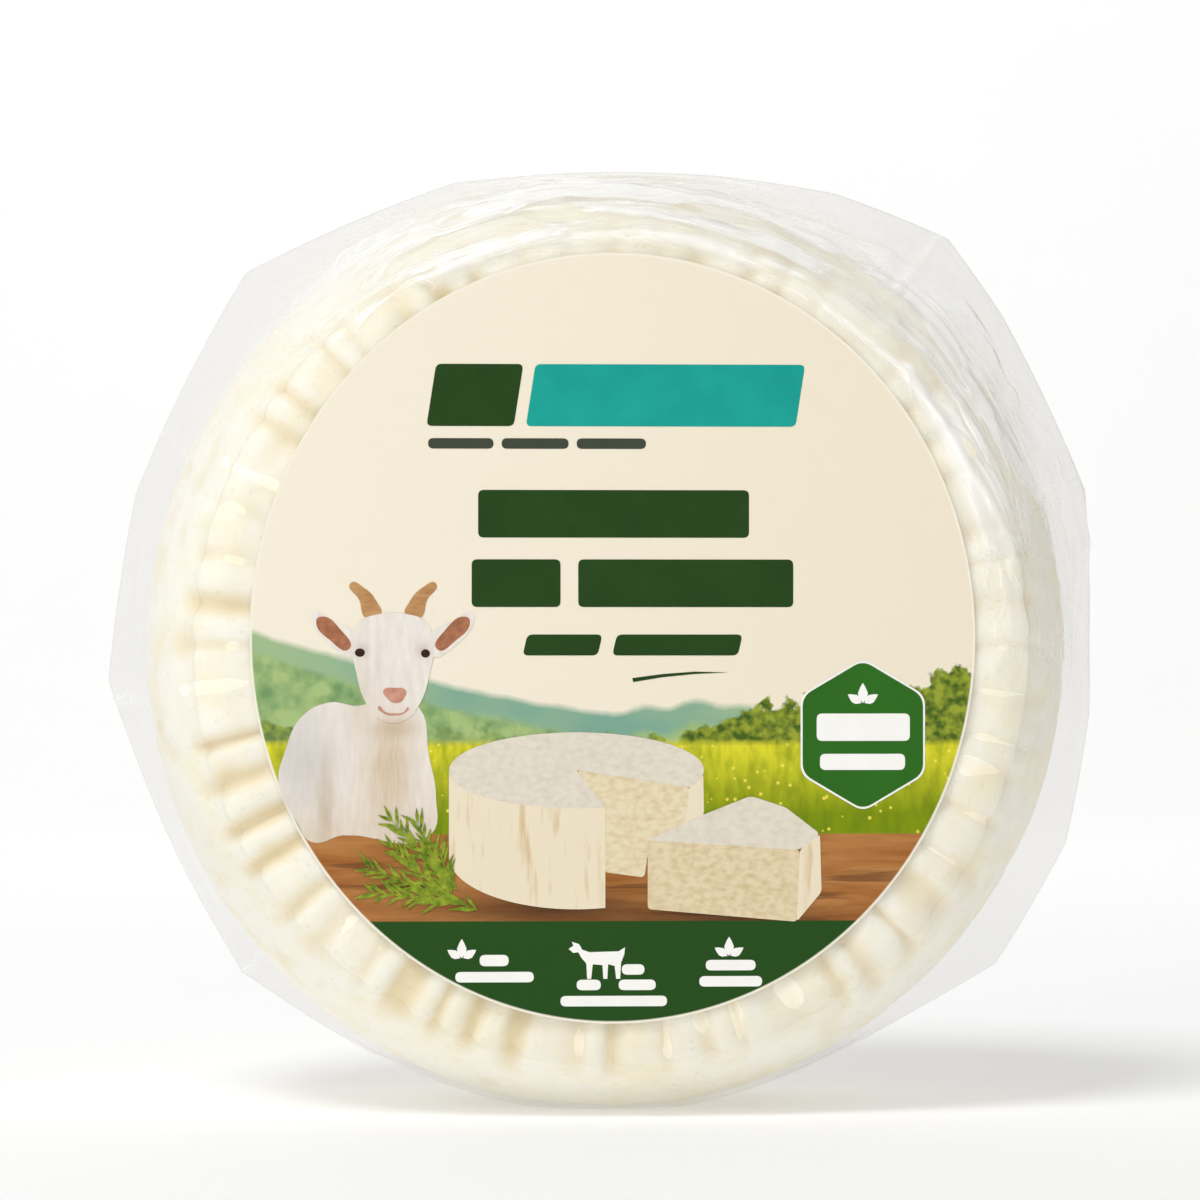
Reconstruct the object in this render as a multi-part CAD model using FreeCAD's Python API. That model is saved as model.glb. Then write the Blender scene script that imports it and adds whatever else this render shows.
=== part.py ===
"""A round fresh goat cheese sealed in clear film, standing on its edge, with an oval label on its front.

Sizes are in millimetres. +Z is up, the label faces -Y, and the origin is on the floor, under the
middle of the pack. The film and the cheese in it are one solid out to the film's outer side:
two flat faces, a ring of moulded ribs round each, and film stretched from the ribs to a seam
line that runs round the pack halfway through its depth.
"""

import FreeCAD, Part
import math
import os

# Cheese
cheese_radius = 59.5        # at its widest, halfway through
cheese_depth = 47.0         # face to face
side_fullness = 2.5         # how squarely the side wall bulges, 2 being a plain arc
rim_inset = 7.0             # from the widest ring in to the rim, where face turns into side
rim_fall = 1.6              # from the flat face back to the rim
rib_count = 56
rib_depth = 1.3             # from the top of a rib down to the valley beside it
rib_length = 6.5            # from the inner end of a rib out to the rim

# Film
film_thickness = 0.2
film_gap = 0.3              # slack between the film and the side wall
turn_fall = 2.2             # from the rim back to where the film leaves the cheese
turn_step = 1.2             # from the rim out to the same ring
foot_width = 24.0           # flat spot that the pack stands on
# How far the film's seam line stands off the side wall: degrees from +X towards +Z, and distance.
seam_corners = [
    (0, 3.4), (18, 6.2), (40, 8.0), (50, 10.2), (63, 6.5), (77, 3.2), (92, 1.8), (108, 3.4),
    (134, 7.1), (162, 3.2), (173, 2.6), (184, 3.8), (222, 2.8), (240, 0.2), (270, 0.0),
    (292, 0.2), (321, 5.8), (337, 5.4), (352, 4.1),
]

# Label
label_side_margin = 7.5     # rim left bare at each side, and at top and bottom were it centred
label_end_margin = 4.75
label_rise = 1.0            # centre of the label above the axis of the pack
label_thickness = 0.3

# How finely the film is faceted
columns_per_rib = 4
# Rings of the ribbed rim: shares of the rib's length, of the rim's fall and of the valley's depth.
rib_rings = [(0.0, 0.0, 0.0), (0.3, 0.0, 0.7), (0.75, 0.25, 1.0), (1.0, 1.0, 0.8)]
turn_valley_share = 0.3     # what is left of the valleys where the film leaves the cheese
tent_shares = (0.25, 0.6)   # rings between there and the seam line

# Derived sizes
rim_radius = cheese_radius - rim_inset
pack_depth = cheese_depth + 2 * film_thickness
half_depth = pack_depth / 2
foot_radius = cheese_radius + film_gap + film_thickness
axis_height = math.sqrt(foot_radius ** 2 - (foot_width / 2) ** 2)
turn_radius = rim_radius + turn_step
turn_depth = rim_fall + turn_fall
front_y = label_thickness / 2 - half_depth   # the label and the pack together straddle y = 0
column_count = rib_count * columns_per_rib


def stand_off(angle):
    """How far the seam line stands off the side wall, in a straight run from corner to corner."""
    first_angle, first_distance = seam_corners[0]
    corners = seam_corners + [(first_angle + 360, first_distance)]
    for (start, near), (end, far) in zip(corners, corners[1:]):
        if start <= angle <= end:
            return near + (far - near) * (angle - start) / (end - start)
    raise ValueError("no corners round this angle")


def side_radius(depth):
    """Radius of film that lies on the cheese's side wall, at a depth behind the face."""
    inwards = (half_depth - depth) / (half_depth - turn_depth)
    bulge = rim_inset - turn_step
    return foot_radius - bulge * inwards ** side_fullness


def rib_valley(angle):
    """1 in the valley between two ribs, 0 on the top of a rib."""
    return (0.5 + 0.5 * math.cos(math.radians(angle) * rib_count)) ** 2


def column(angle):
    """Radius and depth behind the face of each ring of the front half, from the face to the seam."""
    valley = rib_valley(angle) * rib_depth
    rings = [
        (rim_radius - (1 - along) * rib_length, fall * rim_fall + share * valley)
        for along, fall, share in rib_rings
    ]
    rings.append((turn_radius, turn_depth + turn_valley_share * valley))
    seam = foot_radius + stand_off(angle)
    for share in tent_shares:
        depth = turn_depth + share * (half_depth - turn_depth)
        stretched = turn_radius + share * (seam - turn_radius)
        rings.append((max(stretched, side_radius(depth)), depth))
    rings.append((seam, half_depth))
    return rings


def point(angle, radius, y):
    turned = math.radians(angle)
    return FreeCAD.Vector(radius * math.cos(turned), y, axis_height + radius * math.sin(turned))


def ring_points():
    """Rings of points from the front face to the back face. The back half mirrors the front."""
    angles = [360.0 * i / column_count for i in range(column_count)]
    columns = [column(angle) for angle in angles]
    ring_count = len(columns[0])
    front = [
        [point(a, c[ring][0], front_y + c[ring][1]) for a, c in zip(angles, columns)]
        for ring in range(ring_count)
    ]
    back = [
        [point(a, c[ring][0], front_y + pack_depth - c[ring][1]) for a, c in zip(angles, columns)]
        for ring in reversed(range(ring_count - 1))
    ]
    return front + back


def flat_face(points):
    return Part.Face(Part.makePolygon(points + [points[0]]))


def film_pack():
    """The wrapped cheese, with its foot cut flat, level with the floor."""
    rings = ring_points()
    faces = [flat_face(rings[0]), flat_face(rings[-1])]
    for near, far in zip(rings, rings[1:]):
        for i in range(column_count):
            j = (i + 1) % column_count
            faces.append(flat_face([near[i], near[j], far[j]]))
            faces.append(flat_face([near[i], far[j], far[i]]))
    shell = Part.makeShell(faces)
    shell.sewShape()
    body = Part.makeSolid(Part.Shell(shell.Faces))
    if body.Volume < 0:
        body.reverse()
    room_side = 4 * (foot_radius + max(distance for _, distance in seam_corners))
    above_floor = Part.makeBox(room_side, room_side, room_side)
    above_floor.translate(FreeCAD.Vector(-room_side / 2, -room_side / 2, 0))
    return body.common(above_floor).Solids[0]


def label():
    """A thin oval plate on the flat front face."""
    half_width = rim_radius - label_side_margin
    half_height = rim_radius - label_end_margin
    middle = FreeCAD.Vector(0, front_y, axis_height + label_rise)
    top = middle + FreeCAD.Vector(0, 0, half_height)
    side = middle + FreeCAD.Vector(half_width, 0, 0)
    outline = Part.Ellipse(top, side, middle)
    face = Part.Face(Part.Wire(outline.toShape()))
    return face.extrude(FreeCAD.Vector(0, -label_thickness, 0))


def main():
    os.makedirs("parts", exist_ok=True)
    parts = {"film_pack": film_pack(), "label": label()}
    box = parts["film_pack"].BoundBox
    to_middle = FreeCAD.Vector(-(box.XMin + box.XMax) / 2, 0, 0)
    for name, shape in parts.items():
        shape.translate(to_middle)
        assert shape.isValid() and len(shape.Solids) == 1, name
        shape.exportStep(f"parts/{name}.step")
        print(name, "volume", round(shape.Volume), "box", shape.BoundBox)


main()
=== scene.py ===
"""A round fresh goat cheese in clear creased film, with a picture label on its front.

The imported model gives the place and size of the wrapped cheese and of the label. The plain solid
of the wrapped cheese is replaced here by the cheese and the film round it. The label gets its
print: a landscape in its material, and flat fields of print laid on it.
"""

import bpy
import math
import random
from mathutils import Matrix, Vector, noise


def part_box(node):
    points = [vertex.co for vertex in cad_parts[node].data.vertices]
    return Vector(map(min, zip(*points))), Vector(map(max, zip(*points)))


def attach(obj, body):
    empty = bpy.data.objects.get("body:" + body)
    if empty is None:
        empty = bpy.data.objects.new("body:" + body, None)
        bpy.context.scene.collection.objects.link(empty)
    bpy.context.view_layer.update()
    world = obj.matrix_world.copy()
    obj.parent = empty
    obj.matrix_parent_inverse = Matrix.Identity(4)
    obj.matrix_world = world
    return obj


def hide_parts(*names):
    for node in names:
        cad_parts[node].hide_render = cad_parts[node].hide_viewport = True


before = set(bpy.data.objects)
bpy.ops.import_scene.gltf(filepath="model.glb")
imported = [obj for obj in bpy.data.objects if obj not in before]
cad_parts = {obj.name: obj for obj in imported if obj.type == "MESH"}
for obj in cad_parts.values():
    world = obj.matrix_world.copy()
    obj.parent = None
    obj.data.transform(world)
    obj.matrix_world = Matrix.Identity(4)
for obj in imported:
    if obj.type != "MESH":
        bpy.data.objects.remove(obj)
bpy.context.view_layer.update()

MM = 0.001
TURN = 2 * math.pi

# ---------------------------------------------------------------- sizes, from the frame
pack_low, pack_high = (Vector(corner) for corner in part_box("film_pack"))
label_low, label_high = (Vector(corner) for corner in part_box("label"))
label_centre = (label_low + label_high) / 2
LABEL_RISE = 1.0 * MM
AXIS = Vector((label_centre.x, 0, label_centre.z - LABEL_RISE))
FRONT = pack_low.y if label_low.y > pack_low.y else label_high.y
HALF_DEPTH = (pack_high.y - FRONT) / 2
MIDDLE = FRONT + HALF_DEPTH
LABEL_FRONT = label_low.y
LABEL_HALF_WIDTH = (label_high.x - label_low.x) / 2
LABEL_HALF_HEIGHT = (label_high.z - label_low.z) / 2

# The cheese
CHEESE_RADIUS = 59.5 * MM
RIM_RADIUS = 52.5 * MM
RIM_FALL = 1.6 * MM
RIB_LENGTH = 6.5 * MM
RIB_DEPTH = 1.05 * MM
RIB_COUNT = 56
SIDE_FULLNESS = 2.5             # how squarely the side wall bulges, 2 being a plain arc
UNDER_FILM = 0.35 * MM          # the cheese starts this far under the film's outer side
LUMP_SIZE = 8 * MM
SMALL_LUMP_SIZE = 3.6 * MM
LUMP_HEIGHT = 0.65 * MM
CHEESE_COLUMNS = 8 * RIB_COUNT
CHEESE_RINGS = 44               # from the flat face to halfway through
FLAT_RING_WIDTH = 3 * MM

# The film
FILM_RADIUS = 60.0 * MM
TURN_RADIUS = 53.7 * MM
TURN_DEPTH = 3.8 * MM
FILM_COLUMNS = 640
FILM_RINGS = 48
FILM_DIP = 0.7                  # how far the film follows the valleys between the ribs
SLACK_MIDDLE = 68               # degrees from +X towards +Z, where the film is loosest
SLACK_REACH = (35, 85)          # degrees either side of that where it starts and stops tightening
PANEL_SIZE = 19 * MM
RING_FOLD_SIZE = (22 * MM, 4.2 * MM)
SIDE_FOLD_SIZE = (7.5 * MM, 26 * MM)
FOLD_HEIGHT = 0.5 * MM
FOLD_WIDTH = 0.6                # mm
# How far the film stands off the side wall at the seam line: degrees from +X towards +Z, and mm.
SEAM_CORNERS = [
    (0, 3.5), (18, 6.2), (40, 7.8), (50, 9.8), (63, 6.5), (77, 3.2), (92, 1.8), (108, 3.6),
    (134, 7.5), (162, 4.2), (173, 3.6), (184, 4.7), (222, 3.4), (240, 0.6), (270, 0.0),
    (292, 0.2), (321, 5.8), (337, 5.6), (352, 4.1),
]
# Folds where the film comes away from the cheese, as (across, up) in mm from the pack's axis.
FOLDS = [
    [(-55.5, 34.0), (-47.0, 41.0), (-39.5, 47.5), (-33.0, 52.0), (-26.5, 55.3)],
    [(53.0, 34.0), (57.3, 25.0), (58.6, 14.0), (58.9, 2.0), (58.0, -10.0)],
    [(25.0, 49.5), (34.0, 45.0), (41.0, 38.5), (47.0, 30.0), (50.5, 21.0)],
    [(-28.0, 53.0), (-14.0, 55.2), (0.0, 54.0), (12.0, 55.0), (22.0, 51.5)],
    [(43.0, 53.0), (40.0, 48.5), (34.5, 43.0)],
    [(60.5, 21.5), (57.5, 21.0), (53.0, 17.5)],
    [(-63.5, -5.0), (-60.0, -6.0), (-55.0, -9.5)],
    [(-58.0, 30.0), (-55.0, 27.5), (-52.5, 22.0)],
    [(-46.5, -42.0), (-44.5, -39.5), (-43.5, -34.5)],
]


# ---------------------------------------------------------------- making shapes
def select_only(piece):
    bpy.ops.object.select_all(action="DESELECT")
    piece.select_set(True)
    bpy.context.view_layer.objects.active = piece


def settle(piece):
    """Puts the piece's place, turn and size into its mesh."""
    select_only(piece)
    bpy.ops.object.transform_apply(location=True, rotation=True, scale=True)


def turned_body(name, outline, columns):
    """A closed body turned about the pack's axis, from an outline of (radius, y) that starts and
    ends on the axis: a corner drawn out point by point in edit mode, then spun."""
    bpy.ops.object.select_all(action="DESELECT")
    start_radius, start_y = outline[0]
    bpy.ops.mesh.primitive_plane_add(size=MM, location=(AXIS.x + start_radius, start_y, AXIS.z))
    piece = bpy.context.object
    piece.name = name
    bpy.ops.object.mode_set(mode="EDIT")
    bpy.ops.mesh.select_mode(type="VERT")
    bpy.ops.mesh.select_all(action="SELECT")
    bpy.ops.mesh.merge(type="CENTER")
    for (radius, y), (next_radius, next_y) in zip(outline, outline[1:]):
        step = (next_radius - radius, next_y - y, 0)
        bpy.ops.mesh.extrude_vertices_move(TRANSFORM_OT_translate={"value": step})
    bpy.ops.mesh.select_all(action="SELECT")
    bpy.ops.mesh.spin(steps=columns, angle=TURN, center=AXIS, axis=(0, 1, 0))
    bpy.ops.mesh.select_all(action="SELECT")
    bpy.ops.mesh.remove_doubles(threshold=0.01 * MM)
    bpy.ops.mesh.normals_make_consistent(inside=False)
    bpy.ops.object.mode_set(mode="OBJECT")
    settle(piece)
    bpy.ops.object.shade_smooth()
    return piece


def steps_between(start, end, step):
    """Evenly spaced values from start to end, about a step apart."""
    count = max(1, round(abs(end - start) / step))
    return [start + (end - start) * i / count for i in range(count + 1)]


def turned_outline(profile, flat_radius, count):
    """An outline from the front of the axis over the side to the back, from profile(share), which
    gives (radius, depth behind the face) from the flat face's edge, 0, to halfway through, 1."""
    flat_depth = profile(0)[1]
    flat = [(radius, flat_depth) for radius in steps_between(0, flat_radius, FLAT_RING_WIDTH)[:-1]]
    front = flat + [profile(i / count) for i in range(count + 1)]
    back = [(radius, 2 * HALF_DEPTH - depth) for radius, depth in reversed(front[:-1])]
    return [(radius, FRONT + depth) for radius, depth in front + back]


def smooth_step(value, low, high):
    share = min(max((value - low) / (high - low), 0.0), 1.0)
    return share * share * (3 - 2 * share)


def polar(point):
    """(angle, radius, depth behind the nearer face, 1 for the front half or -1) of a point."""
    across, up = point.x - AXIS.x, point.z - AXIS.z
    side = 1 if point.y <= MIDDLE else -1
    depth = HALF_DEPTH - abs(point.y - MIDDLE)
    return math.atan2(up, across) % TURN, math.hypot(across, up), depth, side


def from_polar(angle, radius, depth, side):
    y = MIDDLE - side * (HALF_DEPTH - depth)
    return Vector((AXIS.x + radius * math.cos(angle), y, AXIS.z + radius * math.sin(angle)))


def around(angle, side, scale):
    """A point that goes round with the angle, for noise that has no seam."""
    return Vector((math.cos(angle) * scale, side * 7.3, math.sin(angle) * scale))


def rib_valley(angle, side):
    """0 on the top of a rib to 1 at the bottom of the valley beside it."""
    wander = 0.45 * noise.noise(around(angle, side, 9.0))
    wave = 0.5 + 0.5 * math.cos(angle * RIB_COUNT + wander * TURN)
    return wave ** 2.4


def store_values(mesh, name, values):
    layer = mesh.attributes.new(name, "FLOAT", "POINT")
    layer.data.foreach_set("value", values)


# ---------------------------------------------------------------- the cheese
def cheese_profile(share):
    """(radius, depth) along the cheese's outline, from its flat face to halfway through."""
    face_radius = RIM_RADIUS - RIB_LENGTH
    if share < 0.35:
        along = share / 0.35
        return face_radius + along * RIB_LENGTH, UNDER_FILM + RIM_FALL * along ** 3
    along = (share - 0.35) / 0.65
    depth = UNDER_FILM + RIM_FALL + (HALF_DEPTH - UNDER_FILM - RIM_FALL) * along ** 1.25
    inwards = 1 - (depth - UNDER_FILM - RIM_FALL) / (HALF_DEPTH - UNDER_FILM - RIM_FALL)
    bulge = CHEESE_RADIUS - RIM_RADIUS
    return CHEESE_RADIUS - UNDER_FILM - bulge * max(inwards, 0) ** SIDE_FULLNESS, depth


def lumps(point, size, seed):
    return noise.noise(point / size + Vector((seed, 0, 0)))


def make_cheese():
    outline = turned_outline(cheese_profile, RIM_RADIUS - RIB_LENGTH, CHEESE_RINGS)
    piece = turned_body("cheese", outline, CHEESE_COLUMNS)
    valley_shade_values = []
    for vertex in piece.data.vertices:
        angle, radius, depth, side = polar(vertex.co)
        valley = rib_valley(angle, side)
        ribbed = smooth_step(radius, RIM_RADIUS - RIB_LENGTH - 6 * MM, RIM_RADIUS - 5 * MM)
        ribbed *= 1 - smooth_step(depth, 1.5 * MM, 7.0 * MM)
        ribbed *= 0.7 + 1.1 * noise.noise(around(angle, side, 6.0))
        ribbed *= 0.72 - 0.4 * math.cos(angle - math.radians(35))
        knuckle = math.exp(-((depth - 3.0 * MM) / (2.2 * MM)) ** 2)
        rough = 0.45 * lumps(vertex.co, LUMP_SIZE, 3) + 0.6 * lumps(vertex.co, SMALL_LUMP_SIZE, 11)
        rough *= 0.35 + 0.65 * smooth_step(radius, 38 * MM, 46 * MM)
        pressed = 0.45 * valley * ribbed
        depth += (RIB_DEPTH * valley * ribbed + LUMP_HEIGHT * max(rough, -0.4)) * (
            1 - smooth_step(depth, 3 * MM, 7 * MM)
        )
        radius -= RIB_DEPTH * valley * ribbed * smooth_step(depth, 0.8 * MM, 3 * MM) * 0.9
        radius -= 0.5 * MM * max(rough + 0.2, 0) * smooth_step(depth, 1.5 * MM, 5 * MM)
        radius -= 0.25 * MM * knuckle * (1 - ribbed)
        vertex.co = from_polar(angle, radius, depth, side)
        vertex.co.z = max(vertex.co.z, 0.3 * MM)
        # Painted shade: darker and yellower in the valleys between the ribs and where lumps sink in.
        painted_valley_shade = max(valley * ribbed, 0) + pressed * 0.2 + 0.9 * max(rough - 0.12, 0)
        valley_shade_values.append(min(1.0, painted_valley_shade))
    store_values(piece.data, "valley", valley_shade_values)
    return piece


# ---------------------------------------------------------------- the film
def stand_off(angle):
    """How far the film's seam line stands off the side wall: nearly straight between its corners."""
    degrees = math.degrees(angle) % 360
    first_angle, first_distance = SEAM_CORNERS[0]
    corners = SEAM_CORNERS + [(first_angle + 360, first_distance)]
    for (start, near), (end, far) in zip(corners, corners[1:]):
        if start <= degrees <= end:
            near_radius, far_radius = FILM_RADIUS + near * MM, FILM_RADIUS + far * MM
            turned, left = math.radians(degrees - start), math.radians(end - degrees)
            straight = near_radius * far_radius * math.sin(turned + left)
            straight /= near_radius * math.sin(turned) + far_radius * math.sin(left)
            round_line = near_radius + (far_radius - near_radius) * (degrees - start) / (end - start)
            return max(0.65 * straight + 0.35 * round_line - FILM_RADIUS, 0.0)
    raise ValueError("no corners round this angle")


def film_profile(share):
    face_radius = RIM_RADIUS - RIB_LENGTH
    if share < 0.3:
        along = share / 0.3
        return face_radius + along * RIB_LENGTH, RIM_FALL * along ** 3
    if share < 0.42:
        along = (share - 0.3) / 0.12
        radius = RIM_RADIUS + along * (TURN_RADIUS - RIM_RADIUS)
        return radius, RIM_FALL + along * (TURN_DEPTH - RIM_FALL)
    along = (share - 0.42) / 0.58
    depth = TURN_DEPTH + along * (HALF_DEPTH - TURN_DEPTH)
    bulge = FILM_RADIUS - TURN_RADIUS
    return FILM_RADIUS - bulge * max(1 - along, 0) ** SIDE_FULLNESS, depth


def distance_to_line(across, up, line):
    """Distance in mm from a point to a line of straight runs, and how far along it that is."""
    best, along = 1e9, 0.0
    for i, ((ax, ay), (bx, by)) in enumerate(zip(line, line[1:])):
        run_x, run_y = bx - ax, by - ay
        share = ((across - ax) * run_x + (up - ay) * run_y) / (run_x ** 2 + run_y ** 2)
        share = min(max(share, 0.0), 1.0)
        distance = math.hypot(across - ax - share * run_x, up - ay - share * run_y)
        if distance < best:
            best, along = distance, (i + share) / (len(line) - 1)
    return best, along


def crumple(place):
    """Sharp creases with smooth panels between them, about 1 apart, from -0.5 to 0.5."""
    turned_place = place * 0.6 + Vector((5, 2, 9))
    bend = Vector((noise.noise(place * 0.6), 0, noise.noise(turned_place))) * 0.7
    return 0.5 - min(1.0, 2.2 * abs(noise.noise(place + bend)))


def slackness(angle):
    """How loose and cloudy the film is round the rim: most at the top and the upper right."""
    degrees = math.degrees(angle)
    away = abs((degrees - SLACK_MIDDLE + 180) % 360 - 180)
    return 1 - smooth_step(away, *SLACK_REACH)


def make_film():
    outline = turned_outline(film_profile, RIM_RADIUS - RIB_LENGTH, FILM_RINGS)
    piece = turned_body("film", outline, FILM_COLUMNS)
    clouds = []
    for vertex in piece.data.vertices:
        angle, radius, depth, side = polar(vertex.co)
        slack = slackness(angle)
        across, up = (radius * math.cos(angle)) / MM, (radius * math.sin(angle)) / MM
        share = (depth - TURN_DEPTH) / (HALF_DEPTH - TURN_DEPTH)
        lift = 0.0
        if share > 0:
            seam = FILM_RADIUS + stand_off(angle)
            tent = TURN_RADIUS + share * (seam - TURN_RADIUS)
            tent -= 0.4 * MM * smooth_step(share, 0.82, 1.0) * smooth_step(stand_off(angle), 0, 3 * MM)
            lift = max(tent - radius, 0.0)
            radius += lift
        loose = min(1.0, lift / (3.5 * MM))
        ribbed = smooth_step(radius, RIM_RADIUS - RIB_LENGTH - 3 * MM, RIM_RADIUS - 5 * MM)
        ribbed *= 1 - smooth_step(depth, 2.5 * MM, 7.0 * MM)
        dip = FILM_DIP * RIB_DEPTH * rib_valley(angle, side) * ribbed * (1 - 0.85 * slack)
        point = from_polar(angle, radius, depth, side)
        if side > 0:
            past_side = across * MM / LABEL_HALF_WIDTH
            past_label = math.hypot(past_side, (up * MM - LABEL_RISE) / LABEL_HALF_HEIGHT)
            at_rim = smooth_step(past_label, 1.0, 1.07)
        else:
            at_rim = smooth_step(radius, 40 * MM, 48 * MM)
        height = 0.0
        mark = 0.0
        if at_rim > 0:
            round_rim = angle * FILM_RADIUS
            outwards = radius + depth
            panels = crumple(point / PANEL_SIZE + Vector((0, 1, 0)))
            ring_size, side_size = RING_FOLD_SIZE, SIDE_FOLD_SIZE
            ring_folds = crumple(Vector((round_rim / ring_size[0], 4, outwards / ring_size[1])))
            side_folds = crumple(Vector((round_rim / side_size[0], 8, outwards / side_size[1])))
            height = (0.08 + 0.3 * slack + 0.4 * loose) * panels
            height += 0.7 * slack * ring_folds + (0.15 * loose + 0.25 * slack) * side_folds
            height = (height + 0.3 * slack) * MM * (1 - smooth_step(share, 0.6, 0.95))
            if side > 0:
                for line in FOLDS:
                    gap, along = distance_to_line(across, up, line)
                    hollow = math.exp(-((gap - 1.1) / FOLD_WIDTH) ** 2)
                    crest = math.exp(-(gap / FOLD_WIDTH) ** 2) - 0.6 * hollow
                    middle = max(math.sin(math.pi * along), 0) ** 0.5
                    height += FOLD_HEIGHT * crest * middle
                    mark = max(mark, 0.4 * math.exp(-(gap / 0.5) ** 2) * middle)
            height = max(height, -0.25 * MM) * at_rim
        outward = smooth_step(depth, 1.0 * MM, 4.5 * MM)
        depth += (dip - height) * (1 - outward)
        radius += (height - dip) * outward
        vertex.co = from_polar(angle, radius, depth, side)
        vertex.co.z = max(vertex.co.z, 0.02 * MM)
        clouds.append(max(min(1.0, 0.06 + 0.94 * slack) * (1 - 0.8 * loose), mark) * at_rim)
    store_values(piece.data, "cloud", clouds)
    return piece


# ---------------------------------------------------------------- materials
def colour(red, green, blue):
    """A linear colour from display values of 0 to 255."""
    def linear(value):
        value /= 255
        return value / 12.92 if value <= 0.04045 else ((value + 0.055) / 1.055) ** 2.4
    return (linear(red), linear(green), linear(blue), 1.0)


class Num:
    """A number that varies over a surface. Sums on it add Math nodes."""

    def __init__(self, finish, socket):
        self.finish = finish
        self.socket = socket

    def math(self, operation, *values):
        node = self.finish.node("Math", {"operation": operation}, values)
        return Num(self.finish, node.outputs[0])

    def __add__(self, other):
        return self.math("ADD", self, other)

    def __sub__(self, other):
        return self.math("SUBTRACT", self, other)

    def __rsub__(self, other):
        return self.math("SUBTRACT", other, self)

    def __mul__(self, other):
        return self.math("MULTIPLY", self, other)

    def __truediv__(self, other):
        return self.math("DIVIDE", self, other)

    def __pow__(self, other):
        return self.math("POWER", self, other)

    def __neg__(self):
        return self.math("MULTIPLY", self, -1.0)

    __radd__ = __add__
    __rmul__ = __mul__

    def low(self, other):
        return self.math("MINIMUM", self, other)

    def high(self, other):
        return self.math("MAXIMUM", self, other)

    def held(self):
        """Held between 0 and 1."""
        return self.low(1.0).high(0.0)

    def step(self, edge, soft):
        """0 below the edge to 1 above it, over a soft width."""
        return ((self - edge) / soft + 0.5).held()

    def hump(self, centre, width):
        """1 at the centre, falling to 0 over about a width each side."""
        away = (self - centre) / width
        return self.math("EXPONENT", -(away * away))


class Finish:
    """One material, built by nodes on a Principled shader."""

    def __init__(self, name, **plain):
        self.material = bpy.data.materials.new(name)
        self.material.use_nodes = True
        self.tree = self.material.node_tree
        self.shader = self.tree.nodes["Principled BSDF"]
        for key, value in plain.items():
            self.shader.inputs[key.replace("_", " ")].default_value = value
        self.place = self.node("TexCoord").outputs["Object"]

    def node(self, kind, settings=None, inputs=()):
        """Adds a node of that kind, sets its settings, then its inputs by order or by name."""
        node = self.tree.nodes.new("ShaderNode" + kind)
        for key, value in (settings or {}).items():
            setattr(node, key, value)
        pairs = inputs.items() if isinstance(inputs, dict) else enumerate(inputs)
        for key, value in pairs:
            if value is not None:
                self.feed(node.inputs[key], value)
        return node

    def feed(self, socket, value):
        value = getattr(value, "socket", value)
        if isinstance(value, bpy.types.NodeSocket):
            self.tree.links.new(value, socket)
        else:
            socket.default_value = value

    def coordinates(self, centre=(0, 0, 0)):
        """The place on the object in mm from a centre, as three numbers."""
        place = self.node("VectorMath", {"operation": "SUBTRACT"}, (self.place, tuple(centre)))
        scaled = self.node("VectorMath", {"operation": "SCALE"}, {0: place.outputs[0], 3: 1 / MM})
        parts = self.node("SeparateXYZ", None, (scaled.outputs[0],))
        return tuple(Num(self, part) for part in parts.outputs)

    def noise(self, size, detail=3.0, stretch=(1, 1, 1), distortion=0.0):
        """Noise from 0 to 1 whose lumps are about a size in mm, longer along a stretched axis."""
        scale = tuple(1 / (size * MM * s) for s in stretch)
        place = self.node("Mapping", None, {"Vector": self.place, "Scale": scale}).outputs[0]
        inputs = {"Vector": place, "Scale": 1.0, "Detail": detail, "Distortion": distortion}
        return Num(self, self.node("TexNoise", {"normalize": True}, inputs).outputs[0])

    def spots(self, size):
        """Distance to the nearest of scattered points, about a size apart."""
        scale = (1 / (size * MM),) * 3
        place = self.node("Mapping", None, {"Vector": self.place, "Scale": scale}).outputs[0]
        return Num(self, self.node("TexVoronoi", None, {"Vector": place, "Scale": 1.0}).outputs[0])

    def stored(self, name):
        return Num(self, self.node("Attribute", {"attribute_name": name}).outputs["Fac"])

    def mix(self, share, first, second):
        """A colour: the first where share is 0, the second where it is 1."""
        node = self.node("Mix", {"data_type": "RGBA"}, {0: share, 6: first, 7: second})
        return node.outputs[2]

    def bump(self, height, distance, strength=1.0):
        inputs = {"Height": height, "Distance": distance * MM, "Strength": strength}
        return self.node("Bump", None, inputs).outputs[0]

    def set(self, **inputs):
        for key, value in inputs.items():
            self.feed(self.shader.inputs[key.replace("_", " ")], value)
        return self


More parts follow.
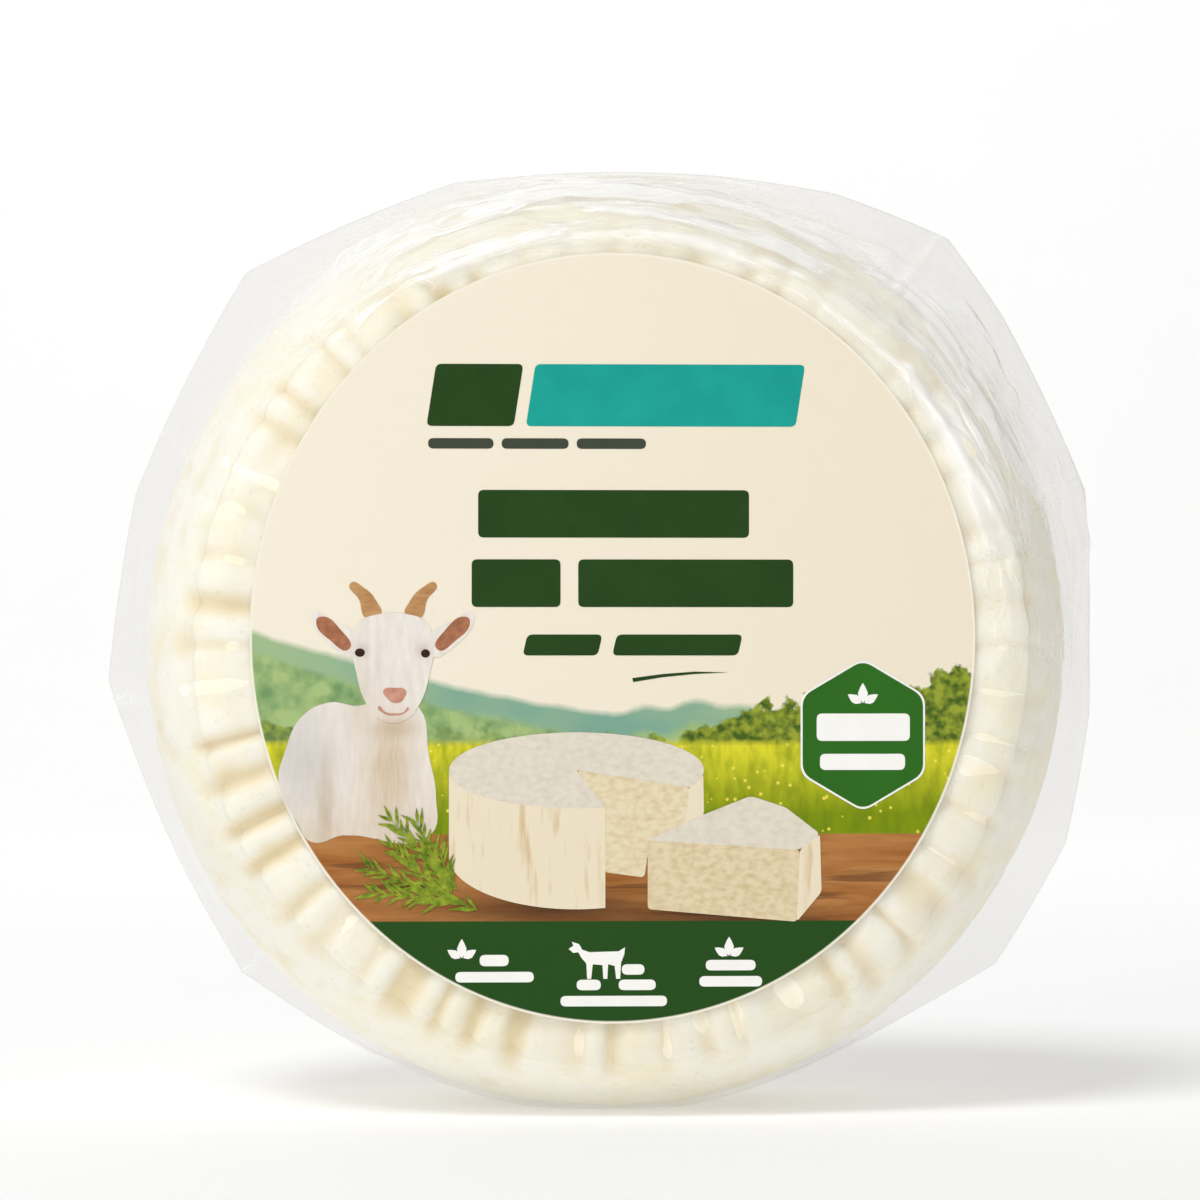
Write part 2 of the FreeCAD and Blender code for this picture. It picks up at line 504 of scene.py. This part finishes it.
def cheese_finish():
    """Soft white curd with a moist sheen, and painted shade between the ribs and where the curd is sunk in;
    it also has a faint painted glow.
    """
    f = Finish("cheese", Subsurface_Weight=0.25, Subsurface_Scale=0.004, Specular_IOR_Level=0.35)
    f.shader.inputs["Subsurface Radius"].default_value = (1.0, 0.8, 0.55)
    valley = f.stored("valley")
    patches = f.noise(7, 3).step(0.56, 0.2)
    cream = f.mix(patches * 0.7, colour(252, 249, 238), colour(247, 240, 210))
    x, _, z = f.coordinates(AXIS)
    rim_ring = ((x * x + z * z) ** 0.5).hump(48.5, 4.0) * f.noise(5, 3).step(0.45, 0.4)
    cream = f.mix(rim_ring * 0.4, cream, colour(240, 228, 192))
    # Painted shade: the valleys between the ribs and the sunken lumps are darker and yellower.
    cream = f.mix((valley * 1.1 - 0.1).held(), cream, colour(233, 216, 172))
    pits = f.spots(1.6).step(0.16, 0.12)
    curd = f.noise(2.2, 5)
    f.set(Base_Color=f.mix((1 - pits) * 0.25, cream, colour(236, 226, 196)))
    f.set(Roughness=0.45 + 0.25 * curd)
    # Painted glow: the cheese gives off a little warm light of its own, so it looks brighter as if lit
    # through.
    f.set(Emission_Color=colour(255, 246, 222), Emission_Strength=0.09)
    f.set(Normal=f.bump(curd * 0.7 + pits * 0.3, 0.35, 0.6))
    return f.material


def film_finish():
    """Clear film: it lets most light through, mirrors the lamps, and is cloudy where it is slack; it has a
    faint painted glow, painted highlights in its cloudy streaks and a painted sheen at its outline.
    """
    f = Finish("film", IOR=1.5, Specular_IOR_Level=0.9)
    cloud = f.stored("cloud")
    x, y, z = f.coordinates(AXIS)
    radius = (x * x + z * z) ** 0.5
    round_rim = f.node("CombineXYZ", None, (z.math("ARCTAN2", z, x) * 2.6, radius / 5.5, y / 5.5))
    inputs = {"Vector": round_rim.outputs[0], "Scale": 1.0, "Detail": 2.5, "Distortion": 1.1}
    streaks = Num(f, f.node("TexNoise", {"normalize": True}, inputs).outputs[0])
    wide = f.noise(13, 2, (1, 1, 1), 0.8)
    fine = f.noise(3, 2)
    # Creases show as pale lines: where the streaks pass their middle value.
    creases = (streaks - 0.52).hump(0, 0.016) * cloud
    # Whiter along the streaks: partly the film's own milkiness, partly painted highlight on its crinkles.
    f.set(Base_Color=f.mix(streaks, colour(244, 243, 238), colour(253, 252, 248)))
    f.set(Roughness=0.14 + 0.14 * wide)
    # Painted glow: the film gives off a little light of its own.
    f.set(Emission_Color=colour(255, 252, 244), Emission_Strength=0.09)
    f.set(Normal=f.bump(wide * 0.8 + streaks * cloud * 2.6 + fine * 0.05, 0.7, 0.7))
    edge = Num(f, f.node("LayerWeight", None, {"Blend": 0.3}).outputs["Facing"])
    # Milky haze where the film is slack; its streaks are also painted highlights on the crinkles.
    haze_and_painted_highlights = 0.04 + cloud * (0.3 + 0.56 * streaks.step(0.5, 0.2)) + creases * 0.3
    # Painted sheen: towards its outline the film is less clear and whiter, in place of its stronger
    # reflection at grazing angles.
    cover = (haze_and_painted_highlights + 0.25 * edge ** 3).held()
    clear = f.node("BsdfTransparent", None, {"Color": (0.935, 0.932, 0.927, 1)})
    surface = f.node("MixShader", None, (cover, clear.outputs[0], f.shader.outputs[0]))
    f.tree.links.new(surface.outputs[0], f.tree.nodes["Material Output"].inputs["Surface"])
    return f.material


def label_finish():
    """The label's printed landscape: sky, hills, trees, a meadow, a board and a green band."""
    f = Finish("label_print", Specular_IOR_Level=0.12)
    x, _, z = f.coordinates(label_centre)
    soft = f.noise(3.2, 4)
    wide = f.noise(9, 3, (1.8, 1, 1))
    clumps = f.noise(2.6, 5)
    page = f.mix((x / 90 + 0.5).held(), colour(242, 233, 213), colour(239, 228, 205))

    # Hills fade in below the sky.
    left = (-x).high(0.0)
    far_top = 0.135 * left + 0.00218 * left * left - 9.3 + 0.8 * (soft - 0.5)
    far_top = far_top + 1.0 * x.hump(4.0, 2.2) + 1.8 * x.hump(10.0, 3.0) + 1.0 * x.hump(16, 4)
    far_colour = f.mix(wide.step(0.5, 0.3), colour(122, 166, 146), colour(154, 182, 142))
    far_colour = f.mix(x.step(-34, 16), colour(158, 184, 138), far_colour)
    page = f.mix((far_top - z).step(0.3, 0.9), page, far_colour)
    near_top = far_top - 3.0 + 1.6 * (wide - 0.5) * 2
    near_colour = f.mix(clumps.step(0.54, 0.3), colour(166, 190, 124), colour(112, 150, 98))
    near_colour = f.mix(x.step(-5, 30) * 0.4, near_colour, colour(156, 186, 124))
    page = f.mix((near_top - z).step(0, 1.0), page, near_colour)

    # Trees stand along the foot of the hills, tallest at the right.
    tree_top = -12.2 + 4.4 * x.step(14, 12) + 4.0 * x.step(38, 10) + 4.0 * (clumps - 0.5) * 2
    tree_top = tree_top + 1.8 * x.hump(-41.5, 5) + 1.2 * x.hump(-17, 2)
    leafy = f.mix(f.noise(1.2, 4).step(0.5, 0.25), colour(66, 94, 26), colour(150, 162, 50))
    trees = (tree_top - z).step(0, 0.5) * (z + 14.2).step(0, 1.2)
    page = f.mix(trees * (0.35 + 0.65 * x.step(0, 20) + 0.4 * x.hump(-42, 6)).held(), page, leafy)

    # Meadow, brightest far off, with grass blades and flowers.
    grass = f.noise(1.1, 4, (1, 1, 2.6))
    near = (-z - 12.8) / 9
    meadow = f.mix(near.held(), colour(228, 220, 50), colour(126, 146, 2))
    meadow = f.mix(grass.step(0.55, 0.3) * 0.55, meadow, colour(96, 122, 4))
    flowers = f.spots(1.3).step(0.17, 0.06)
    meadow = f.mix((1 - flowers) * 0.8, meadow, colour(244, 226, 90))
    page = f.mix((-z).step(13.0, 0.9), page, meadow)

    # Wooden board.
    grain = f.noise(1.3, 5, (9, 1, 1), 0.6)
    plank = f.mix(grain.step(0.5, 0.35), colour(152, 93, 40), colour(182, 125, 70))
    cracks = f.noise(2.2, 4, (14, 1, 0.8), 0.4).step(0.62, 0.05)
    plank = f.mix(cracks * 0.55, plank, colour(74, 42, 24))
    shade = (x + 8).hump(0, 13) * (z + 33.6).hump(0, 2.2) + (x - 15).hump(0, 12) * (z + 35).hump(0, 1.6)
    plank = f.mix((0.8 * shade).held(), plank, colour(58, 32, 18))
    page = f.mix((-z).step(24.3, 0.25), page, plank)

    band = f.mix(f.noise(20, 2) * 0.5, colour(34, 76, 20), colour(30, 68, 22))
    page = f.mix((-z).step(35.05, 0.12), page, band)

    across = x / (LABEL_HALF_WIDTH / MM)
    up = z / (LABEL_HALF_HEIGHT / MM)
    out = (across * across + up * up) ** 0.5
    # Painted highlight: a thin pale line round the label's edge, where the paper's cut edge catches the
    # light.
    page = f.mix(out.step(0.994, 0.004), page, colour(244, 238, 220))
    f.set(Base_Color=page, Roughness=0.38 + 0.1 * f.noise(0.6, 3))
    f.set(Normal=f.bump(f.noise(0.35, 2), 0.012, 0.5))
    return f.material


def print_finish(name, first, second, size=2.0, stretch=(1, 1, 1), edge=0.5, soft=0.5):
    """Printed ink that wanders between two colours."""
    f = Finish(name, Specular_IOR_Level=0.12)
    share = f.noise(size, 4, stretch).step(edge, soft)
    f.set(Base_Color=f.mix(share, first, second), Roughness=0.38 + 0.1 * f.noise(0.6, 3))
    f.set(Normal=f.bump(f.noise(0.35, 2), 0.012, 0.5))
    return f


def goat_finish():
    """White hair, cooler on the back and warm on the neck, with fine strands."""
    f = print_finish("goat_hair", colour(240, 234, 225), colour(225, 216, 205), 1.6, (0.5, 1, 2.2))
    x, _, z = f.coordinates(label_centre)
    strands = f.noise(0.5, 3, (0.6, 1, 4.5))
    base = f.shader.inputs["Base Color"].links[0].from_socket
    neck = (x + 27.8).hump(0, 3.1) * (z + 16.5).hump(0, 6.5)
    belly = (z + 27).hump(0, 5.5)
    back = (x + 38.5).hump(0, 4.0) * (z + 15).hump(0, 6.0)
    flank = (x + 35.6).hump(0, 1.1) * (z + 21).hump(0, 6.5)
    jaw = (x + 31.4).hump(0, 1.7) * (z + 8.0).hump(0, 4.5)
    page = f.mix((neck * (0.25 + 0.75 * strands) * 1.15).held(), base, colour(203, 176, 136))
    page = f.mix(belly * (0.25 + 0.5 * strands), page, colour(204, 178, 140))
    page = f.mix(back * 0.55, page, colour(190, 186, 184))
    page = f.mix(flank * (0.25 + 0.55 * strands), page, colour(186, 162, 130))
    page = f.mix(jaw * 0.6, page, colour(214, 200, 182))
    chin = (x + 27.0).hump(0, 2.6) * (z + 11.2).hump(0, 1.3)
    page = f.mix(chin * 0.75, page, colour(196, 172, 140))
    sockets = ((x + 31.1).hump(0, 0.9) + (x + 23.6).hump(0, 0.8)) * (z + 1.6).hump(0, 0.9)
    page = f.mix(sockets * 0.7, page, colour(196, 182, 168))
    bridge = (x + 29.1).hump(0, 0.5) * (z + 3.2).hump(0, 2.6)
    page = f.mix(bridge * 0.4, page, colour(208, 202, 196))
    f.set(Base_Color=page)
    return f.material


def cheese_print_finish(name, light, dark, lines):
    """Printed cheese: pale, with cream lines down its side or a crumbly cut."""
    if lines:
        return print_finish(name, light, dark, 1.3, (0.7, 1, 6), 0.64, 0.2).material
    return print_finish(name, light, dark, 0.7, (1.6, 1, 1), 0.6, 0.4).material


# ---------------------------------------------------------------- the label's print
LAYER = 0.02 * MM


def print_field(name, outline, layer, material, rounded=False):
    """A flat field of print, from points (across, up) in mm from the label's centre."""
    curve = bpy.data.curves.new(name, "CURVE")
    curve.dimensions = "2D"
    curve.fill_mode = "BOTH"
    curve.extrude = LAYER / 2
    curve.resolution_u = 6
    spline = curve.splines.new("BEZIER" if rounded else "POLY")
    points = spline.bezier_points if rounded else spline.points
    points.add(len(outline) - 1)
    for point, (across, up) in zip(points, outline):
        if rounded:
            point.co = (across * MM, up * MM, 0)
            point.handle_left_type = point.handle_right_type = "AUTO"
        else:
            point.co = (across * MM, up * MM, 0, 1)
    spline.use_cyclic_u = True
    piece = bpy.data.objects.new(name, curve)
    bpy.context.scene.collection.objects.link(piece)
    select_only(piece)
    bpy.ops.object.convert(target="MESH")
    piece = bpy.context.object
    piece.rotation_euler = (math.pi / 2, 0, 0)
    piece.location = (label_centre.x, LABEL_FRONT - layer * LAYER, label_centre.z)
    settle(piece)
    piece.data.materials.clear()
    piece.data.materials.append(material)
    return piece


def joined(name, pieces):
    """Pieces of the same finish, as one."""
    bpy.ops.object.select_all(action="DESELECT")
    for piece in pieces:
        piece.select_set(True)
    bpy.context.view_layer.objects.active = pieces[0]
    if len(pieces) > 1:
        bpy.ops.object.join()
    piece = bpy.context.object
    piece.name = name
    return piece


def softened(corners, reach, steps=5):
    """An outline with each corner rounded off, from the given reach before it to as far after."""
    points = []
    for i, (x, y) in enumerate(corners):
        ends = []
        for near_x, near_y in (corners[i - 1], corners[(i + 1) % len(corners)]):
            share = min(reach / math.hypot(near_x - x, near_y - y), 0.5)
            ends.append((x + (near_x - x) * share, y + (near_y - y) * share))
        (ax, ay), (bx, by) = ends
        for step in range(steps + 1):
            t = step / steps
            points.append((
                (1 - t) ** 2 * ax + 2 * t * (1 - t) * x + t * t * bx,
                (1 - t) ** 2 * ay + 2 * t * (1 - t) * y + t * t * by,
            ))
    return points


def bar(left, right, low, high, lean=0.0, corner=0.7):
    """The outline of a bar with rounded corners, leaning by so much at its top."""
    corners = [(left, low), (right, low), (right + lean, high), (left + lean, high)]
    return softened(corners, corner)


def oval(centre, half_width, half_height, count=20):
    return [
        (centre[0] + half_width * math.cos(TURN * i / count),
         centre[1] + half_height * math.sin(TURN * i / count))
        for i in range(count)
    ]


def leaf(root, length, width, lean):
    """The outline of a pointed leaf growing from its root, leaning by an angle from upright."""
    points = []
    shape = [(0.0, 0.0), (0.25, 0.42), (0.5, 0.5), (0.8, 0.25), (1.0, 0.0)]
    for along, out in shape + [(along, -out) for along, out in reversed(shape[1:-1])]:
        u, v = along * length, out * width
        points.append((
            root[0] + u * math.sin(lean) + v * math.cos(lean),
            root[1] + u * math.cos(lean) - v * math.sin(lean),
        ))
    return points


def leaf_sign(root, size):
    """Three leaves on one root."""
    return [
        leaf(root, size * 1.25, size * 0.62, 0.0),
        leaf((root[0] - 0.1 * size, root[1]), size, size * 0.55, -1.0),
        leaf((root[0] + 0.1 * size, root[1]), size, size * 0.55, 1.0),
    ]


def rounded_hexagon(centre, half_width, half_height):
    cx, cy = centre
    side = half_height * 0.52
    return softened([
        (cx, cy + half_height), (cx + half_width, cy + side), (cx + half_width, cy - side),
        (cx, cy - half_height), (cx - half_width, cy - side), (cx - half_width, cy + side),
    ], 1.3)


# The goat, in mm from the label's centre. Its head, ears and horns are given for one side, as
# (out from the goat's middle line, up), and are the same on the other.
GOAT_MIDDLE = -27.3
GOAT_BODY = [
    (-27.7, -7.2), (-31.5, -8.4), (-35.2, -8.0), (-38.6, -9.8), (-40.6, -14.0), (-41.4, -18.0),
    (-39.0, -23.0), (-37.4, -25.2), (-33.5, -24.4), (-22.7, -24.4), (-22.0, -19.5), (-22.9, -14.5),
    (-24.2, -8.5),
]
GOAT_HEAD_SIDE = [(1.8, 2.9), (4.0, 2.0), (5.0, -0.8), (4.5, -4.5), (3.4, -8.0), (1.5, -10.2)]
GOAT_EAR = [(4.6, -2.2), (8.0, -0.7), (9.9, 1.8), (9.9, 3.1), (7.6, 2.2), (4.6, 0.3)]
GOAT_INNER_EAR = [(5.4, -1.4), (7.8, -0.3), (9.5, 2.0), (9.0, 2.6), (6.4, 0.9)]
GOAT_HORN = [(3.3, 2.4), (4.2, 4.7), (5.3, 6.7), (3.5, 6.1), (2.0, 4.4), (1.5, 2.9)]

# The cheese wheel is a drum seen from a little above, with a piece cut out at its front right.
WHEEL_CENTRE = (-4.6, -16.4)
WHEEL_HALF_WIDTH = 15.8
WHEEL_TOP_HALF_HEIGHT = 4.7
WHEEL_FOOT = (-4.6, -27.0)
WHEEL_FOOT_HALF_HEIGHT = 6.6
CUT_RIGHT = math.radians(-27)
CUT_FRONT = math.radians(283)
CUT_FOOT = [(8.9, -23.5), (4.2, -26.8), (3.8, -29.7), (-1.2, -29.0)]
WHEEL_RIGHT = [(9.4, -18.3), (11.1, -16.8), (11.2, -22.0), (8.8, -23.7)]

# The wedge lies in front of the cut.
WEDGE_TIP = (4.2, -25.1)
WEDGE_CORNER = (23.1, -26.3)
WEDGE_FAR_CORNER = (25.6, -24.3)
WEDGE_BOTTOM = (22.7, -35.2)
WEDGE_TOP = [WEDGE_TIP, (10.4, -22.2), (17.0, -19.6), (21.3, -21.0), WEDGE_FAR_CORNER, WEDGE_CORNER]
WEDGE_FRONT = [WEDGE_TIP, WEDGE_CORNER, WEDGE_BOTTOM, (4.2, -33.6)]
WEDGE_SIDE = [WEDGE_CORNER, WEDGE_FAR_CORNER, (25.8, -31.5), WEDGE_BOTTOM]


def both_sides(side):
    """An outline given for one side of the goat, as it stands on the left and on the right."""
    return [[(GOAT_MIDDLE + sign * out, up) for out, up in side] for sign in (-1, 1)]


def arc(centre, half_width, half_height, start, end, count=24):
    """Points along part of an oval, from one angle to another."""
    angles = [start + (end - start) * i / count for i in range(count + 1)]
    return [
        (centre[0] + half_width * math.cos(angle), centre[1] + half_height * math.sin(angle))
        for angle in angles
    ]


def goat_head():
    left, right = both_sides(GOAT_HEAD_SIDE)
    return right + left[::-1]


def wheel_top():
    rim = arc(WHEEL_CENTRE, WHEEL_HALF_WIDTH, WHEEL_TOP_HALF_HEIGHT, CUT_RIGHT, CUT_FRONT, 40)
    return rim + [WHEEL_CENTRE]


def wheel_side():
    rim = arc(WHEEL_CENTRE, WHEEL_HALF_WIDTH, WHEEL_TOP_HALF_HEIGHT, math.pi, CUT_FRONT)
    foot = arc(WHEEL_FOOT, WHEEL_HALF_WIDTH, WHEEL_FOOT_HALF_HEIGHT, math.pi, CUT_FRONT)
    return rim[::-1] + foot


def wheel_cut():
    rim = arc(WHEEL_CENTRE, WHEEL_HALF_WIDTH, WHEEL_TOP_HALF_HEIGHT, CUT_RIGHT, CUT_FRONT, 1)
    return [WHEEL_CENTRE, rim[0]] + CUT_FOOT + [rim[1]]


def rosemary_sprig(rng, root, tip, layer, material):
    """A stem with narrow leaves up both sides."""
    (rx, ry), (tx, ty) = root, tip
    length = math.hypot(tx - rx, ty - ry)
    heading = math.atan2(tx - rx, ty - ry)
    pieces = [print_field("stem", leaf(root, length, 0.35, heading), layer, material)]
    count = max(5, round(length / 0.9))
    for i in range(count):
        along = (i + 0.6) / count
        point = (rx + (tx - rx) * along, ry + (ty - ry) * along)
        for side in (-1, 1):
            lean = heading + side * rng.uniform(0.2, 0.75)
            size = rng.uniform(2.2, 4.2) * (1 - 0.35 * along)
            deep = layer + 0.1 * (i % 5) + 0.05 * side
            pieces.append(print_field("leaf", leaf(point, size, 0.42, lean), deep, material))
    return pieces


def make_print():
    """Every field of print on the label, from the back to the front."""
    dark = print_finish("ink_dark_green", colour(30, 62, 16), colour(36, 70, 22), 6).material
    teal = print_finish("ink_teal", colour(16, 150, 140), colour(24, 166, 152), 6).material
    grey = print_finish("ink_grey", colour(58, 66, 52), colour(66, 74, 60), 6).material
    white = print_finish("ink_white", colour(250, 249, 244), colour(244, 243, 236), 4).material
    badge = print_finish("ink_badge_green", colour(44, 108, 26), colour(40, 98, 24), 12).material
    hair = goat_finish()
    ear = print_finish("goat_ear", colour(186, 122, 90), colour(142, 92, 62), 1.0).material
    horn = print_finish("goat_horn", colour(206, 160, 108), colour(164, 116, 70), 1.2, (2, 1, 0.6)).material
    eye = print_finish("goat_eye", colour(38, 22, 12), colour(62, 38, 20), 1.0).material
    nose = print_finish("goat_nose", colour(212, 158, 138), colour(176, 118, 96), 0.9).material
    rind = cheese_print_finish("print_rind", colour(227, 219, 202), colour(212, 202, 184), False)
    side = cheese_print_finish("print_side", colour(235, 222, 194), colour(214, 188, 146), True)
    cut = cheese_print_finish("print_cut", colour(232, 218, 184), colour(212, 190, 146), False)
    crumb = cheese_print_finish("print_crumb", colour(227, 211, 175), colour(203, 180, 134), False)
    sprig = print_finish("rosemary", colour(66, 100, 16), colour(160, 174, 50), 0.9).material
    pieces = []

    def field(name, outlines, layer, material, rounded=False):
        parts = [
            print_field(name, outline, layer + 0.04 * i, material, rounded)
            for i, outline in enumerate(outlines)
        ]
        pieces.append(joined(name, parts))

    field("print_goat_body", [GOAT_BODY], 1, hair, True)
    field("print_goat_horns", both_sides(GOAT_HORN), 2, horn, True)
    field("print_goat_ears", both_sides(GOAT_EAR), 2.5, hair, True)
    field("print_goat_inner_ears", both_sides(GOAT_INNER_EAR), 3.2, ear, True)
    field("print_goat_head", [goat_head()], 4, hair, True)
    field("print_goat_eyes", [oval((-31.4, -1.85), 0.62, 0.52), oval((-23.3, -1.95), 0.56, 0.52)], 5, eye)
    nose_outline = [(-28.5, -6.5), (-27.1, -6.2), (-25.7, -6.5), (-25.8, -7.3), (-26.9, -8.1), (-28.2, -7.3)]
    field("print_goat_nose", [nose_outline], 5, nose, True)
    mouth = [
        (-29.1, -8.5), (-28.2, -9.2), (-27.0, -9.35), (-26.0, -9.2), (-25.4, -8.6),
        (-26.0, -9.4), (-27.0, -9.6), (-28.3, -9.45),
    ]
    field("print_goat_mouth", [mouth], 5.5, nose, True)

    field("print_wheel_cut", [softened(wheel_cut(), 0.6)], 2, cut)
    field("print_wheel_right", [softened(WHEEL_RIGHT, 0.6)], 2.5, side)
    field("print_wheel_side", [wheel_side()], 3, side)
    field("print_wheel_top", [wheel_top()], 3.5, rind)
    field("print_wedge_side", [softened(WEDGE_SIDE, 0.5)], 4, side)
    field("print_wedge_front", [softened(WEDGE_FRONT, 0.5)], 4.5, crumb)
    field("print_wedge_top", [softened(WEDGE_TOP, 0.6)], 5, rind)

    rng = random.Random(7)
    sprigs = []
    for root, tip in (
        ((-16.5, -33.8), (-30.5, -28.4)), ((-19.0, -31.5), (-27.6, -22.4)),
        ((-20.5, -31.0), (-24.4, -22.6)), ((-18.8, -32.6), (-30.0, -31.4)),
        ((-20.0, -32.5), (-27.5, -25.8)), ((-20.0, -32.0), (-21.6, -26.0)),
    ):
        sprigs += rosemary_sprig(rng, root, tip, 5.5 + 0.2 * len(sprigs) / 30, sprig)
    pieces.append(joined("print_rosemary", sprigs))

    centre = (30.95, -12.06)
    field("print_badge_edge", [rounded_hexagon(centre, 7.75, 9.52)], 3, white)
    field("print_badge", [rounded_hexagon(centre, 7.5, 9.25)], 4, badge)
    field("print_badge_leaves", leaf_sign((30.95, -8.1), 2.0), 5, white)
    field("print_badge_bars", [bar(25.2, 36.8, -12.8, -9.4), bar(25.6, 36.2, -16.4, -14.4)], 5, white)

    title = [bar(-16.8, 16.8, 12.4, 18.3), bar(-17.6, -6.6, 3.8, 9.7), bar(-4.4, 22.3, 3.8, 9.7)]
    field("print_title", title, 1, dark)
    field("print_heading_dark", [bar(-23.2, -12.4, 26.2, 33.9, 1.2)], 1, dark)
    field("print_heading_teal", [bar(-10.9, 22.6, 26.2, 33.9, 1.2)], 1, teal)
    tagline = [bar(-23.0, -14.9, 23.4, 24.7), bar(-13.9, -5.6, 23.4, 24.7), bar(-4.6, 4.0, 23.4, 24.7)]
    field("print_tagline", tagline, 1, grey)
    field("print_script", [bar(-11.3, -2.0, -2.2, 0.4, 0.6), bar(-0.2, 15.4, -2.2, 0.4, 0.6)], 1, dark)
    stroke = [(2.3, -5.0), (6.0, -4.5), (10.0, -4.2), (14.2, -4.3), (10.0, -4.5), (6.0, -4.9), (2.4, -5.5)]
    field("print_stroke", [stroke], 1, dark)

    signs = leaf_sign((-18.8, -39.6), 1.9) + leaf_sign((14.3, -39.4), 1.9)
    field("print_band_leaves", signs, 1, white)
    bars = [
        bar(-16.6, -13.0, -40.6, -39.2), bar(-19.6, -9.9, -42.6, -41.3),
        bar(1.0, 3.8, -41.7, -40.4), bar(-4.6, -1.6, -43.6, -42.3),
        bar(0.6, 5.2, -43.6, -42.3), bar(-6.6, 6.6, -45.6, -44.3),
        bar(11.4, 17.6, -41.2, -39.9), bar(10.6, 18.4, -43.2, -41.9),
    ]
    field("print_band_bars", bars, 1, white)
    small_goat = [
        (-5.2, -37.6), (-4.3, -37.9), (-3.9, -38.6), (-3.0, -38.9), (0.6, -38.8), (1.4, -38.3),
        (1.3, -39.2), (0.9, -40.2), (0.8, -42.2), (0.3, -42.2), (0.1, -40.6), (-0.7, -40.4),
        (-0.8, -42.2), (-1.3, -42.2), (-1.4, -40.5), (-2.6, -40.4), (-2.8, -42.2), (-3.3, -42.2),
        (-3.4, -40.3), (-4.0, -39.6), (-4.4, -38.9), (-5.0, -39.0), (-5.6, -38.5), (-5.0, -38.1),
    ]
    field("print_band_goat", [small_goat], 1, white)
    return pieces


# ---------------------------------------------------------------- the stage
FLOOR_SIZE = (6, 2.2, 1)
BACK_EDGE = 0.91
BEND_RADIUS = 0.5
WALL_HEIGHT = 2.0
CAMERA_LENS = 125
CAMERA_AIM = Vector((-0.0009, 0, 0.0648))
CAMERA_AZIMUTH = math.radians(-2.4)
CAMERA_TILT = math.radians(-0.8)
CAMERA_DISTANCE = 0.54


def make_stage():
    """A pale floor that curves up into a pale wall behind."""
    bpy.ops.object.select_all(action="DESELECT")
    bpy.ops.mesh.primitive_plane_add(size=1, location=(0, -0.2, 0))
    floor = bpy.context.object
    floor.name = "floor"
    floor.scale = FLOOR_SIZE
    settle(floor)
    bpy.ops.object.mode_set(mode="EDIT")
    bpy.ops.mesh.select_all(action="DESELECT")
    bpy.ops.object.mode_set(mode="OBJECT")
    for edge in floor.data.edges:
        ends = [floor.data.vertices[i].co.y for i in edge.vertices]
        edge.select = min(ends) > 0.5
    bpy.ops.object.mode_set(mode="EDIT")
    bpy.ops.mesh.select_mode(type="EDGE")
    bpy.ops.mesh.extrude_region_move(TRANSFORM_OT_translate={"value": (0, 0.01, 0)})
    bpy.ops.mesh.spin(
        steps=24, angle=math.pi / 2, center=(0, BACK_EDGE, BEND_RADIUS), axis=(-1, 0, 0), dupli=False
    )
    bpy.ops.mesh.extrude_region_move(TRANSFORM_OT_translate={"value": (0, 0, WALL_HEIGHT)})
    bpy.ops.object.mode_set(mode="OBJECT")
    bpy.ops.object.shade_smooth()
    f = Finish("floor_paint", Roughness=0.9, Specular_IOR_Level=0.1)
    f.set(Base_Color=f.mix(f.noise(60, 2), (0.80, 0.80, 0.80, 1), (0.82, 0.82, 0.82, 1)))
    f.set(Emission_Color=(1, 1, 1, 1), Emission_Strength=0.23)
    floor.data.materials.append(f.material)


def lamp(name, place, target, size, energy, tint=(1, 1, 1)):
    data = bpy.data.lights.new(name, "AREA")
    data.shape = "RECTANGLE"
    data.size, data.size_y = size
    data.energy = energy
    data.color = tint
    piece = bpy.data.objects.new(name, data)
    bpy.context.scene.collection.objects.link(piece)
    piece.location = place
    piece.rotation_euler = (Vector(target) - Vector(place)).to_track_quat("-Z", "Y").to_euler()


def make_lights():
    world = bpy.data.worlds.new("studio")
    bpy.context.scene.world = world
    world.use_nodes = True
    world.node_tree.nodes["Background"].inputs["Color"].default_value = (1.0, 0.98, 0.95, 1)
    world.node_tree.nodes["Background"].inputs["Strength"].default_value = 0.33
    target = (0, 0, 0.06)
    lamp("key", (-0.42, -0.65, 1.2), target, (0.5, 0.5), 9.0, (0.98, 1.0, 1.03))
    lamp("fill", (-0.15, -1.2, 0.12), target, (0.9, 0.2), 1.5)
    lamp("top", (0.2, -0.4, 1.1), target, (0.9, 0.6), 0.3)
    lamp("glint", (-0.5, -0.5, 0.25), target, (0.05, 0.5), 0.65)
    lamp("backdrop", (0, 0.4, 1.0), (0, 1.4, 0.5), (1.5, 0.4), 5.5)


def make_camera():
    data = bpy.data.cameras.new("camera")
    data.lens = CAMERA_LENS
    data.sensor_width = 36
    data.clip_start = 0.01
    camera = bpy.data.objects.new("camera", data)
    bpy.context.scene.collection.objects.link(camera)
    away = Vector((
        math.sin(CAMERA_AZIMUTH) * math.cos(CAMERA_TILT),
        -math.cos(CAMERA_AZIMUTH) * math.cos(CAMERA_TILT),
        math.sin(CAMERA_TILT),
    ))
    camera.location = CAMERA_AIM + away * CAMERA_DISTANCE
    camera.rotation_euler = (-away).to_track_quat("-Z", "Y").to_euler()
    bpy.context.scene.camera = camera


# ---------------------------------------------------------------- everything
bpy.context.scene.view_settings.view_transform = "Standard"
make_camera()
make_stage()
make_lights()

cheese = make_cheese()
cheese.data.materials.append(cheese_finish())
film = make_film()
film.data.materials.append(film_finish())
for piece in (cheese, film):
    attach(piece, "root")
    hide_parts("film_pack")

label_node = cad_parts["label"]
label_node.data.materials.clear()
label_node.data.materials.append(label_finish())
for piece in make_print():
    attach(piece, "root")
